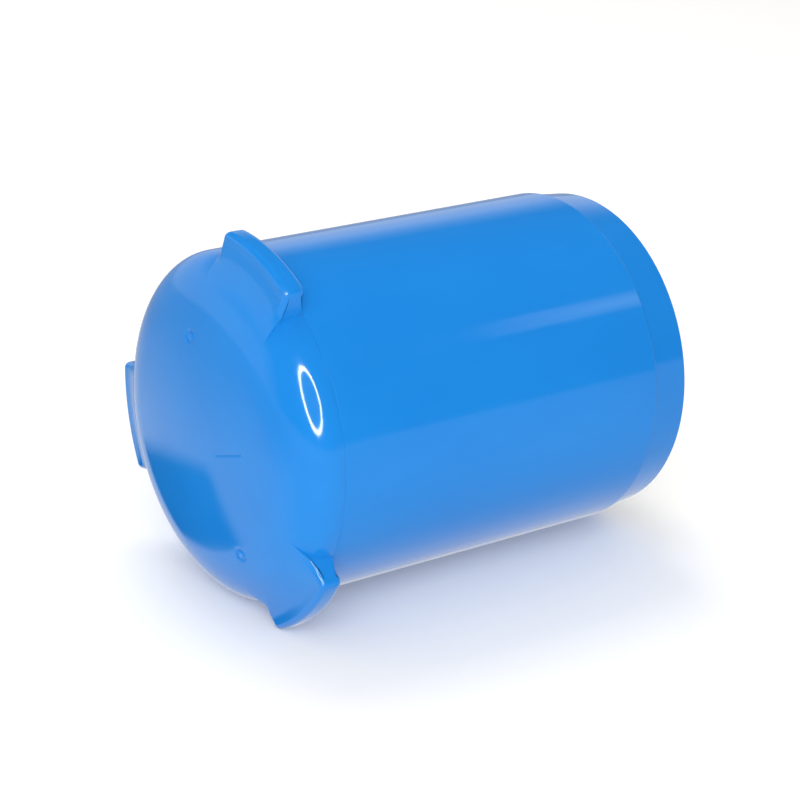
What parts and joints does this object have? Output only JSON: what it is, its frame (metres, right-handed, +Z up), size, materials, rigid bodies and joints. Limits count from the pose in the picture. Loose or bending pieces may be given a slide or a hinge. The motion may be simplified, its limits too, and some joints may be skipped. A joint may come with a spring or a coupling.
{
  "type": "cartridge filter housing",
  "caption": "Domed blue plastic cup with grip lugs that screws over a ported base and pleated cartridge with a central outlet spigot.",
  "frame": {"origin": "middle of the whole object's base, on the floor that the cup lies on", "axes": "+X along the housing's axis from the closed dome to the open mouth and outlet, +Y sideways, +Z up from the floor"},
  "size_m": [0.1966, 0.1332, 0.1333],
  "materials": {
    "cup_plastic": "glossy moulded blue",
    "pale_plastic": "satin moulded light grey",
    "grey_plastic": "satin moulded dark grey",
    "seal_rubber": "matt black",
    "cap_rubber": "matt cast blue",
    "filter_media": "pleated non-woven polyester",
    "stainless_steel": "plain"
  },
  "bodies": {
    "cup": {"housing_cup": "cup_plastic", "cartridge_cushion": "seal_rubber"},
    "seal": {"base_o_ring": "seal_rubber"},
    "base": {"base_plug": "pale_plastic", "inlet_grille": "pale_plastic", "grille_screw_1": "stainless_steel", "grille_screw_2": "stainless_steel", "grille_screw_3": "stainless_steel", "outlet_spigot": "grey_plastic", "spigot_gasket": "seal_rubber", "spigot_o_ring": "seal_rubber", "wall_gasket": "seal_rubber", "slip_washer": "pale_plastic", "lock_nut": "grey_plastic"},
    "cartridge": {"cartridge_cap_dome": "cap_rubber", "cartridge_cap_base": "cap_rubber", "cartridge_core": "pale_plastic", "pleated_media": "filter_media", "media_band_1": "filter_media", "media_band_2": "filter_media"}
  },
  "joints": [
    {"name": "base_travel", "type": "slide", "parent": "cup", "child": "seal", "axis": [1, 0, 0], "range_m": [0, 0.01201]},
    {"name": "base_turn", "type": "hinge", "parent": "seal", "child": "base", "pos_m": [0.06704, -0.00465, 0.062], "axis": [1, 0, 0], "range_deg": [0, 240]},
    {"name": "cartridge_spin", "type": "hinge", "parent": "base", "child": "cartridge", "pos_m": [0, -0.00465, 0.062], "axis": [1, 0, 0], "continuous": true}
  ],
  "couplings": [
    {"joint": "base_travel", "follows": "base_turn", "m_per_rad": 0.0028648}
  ]
}
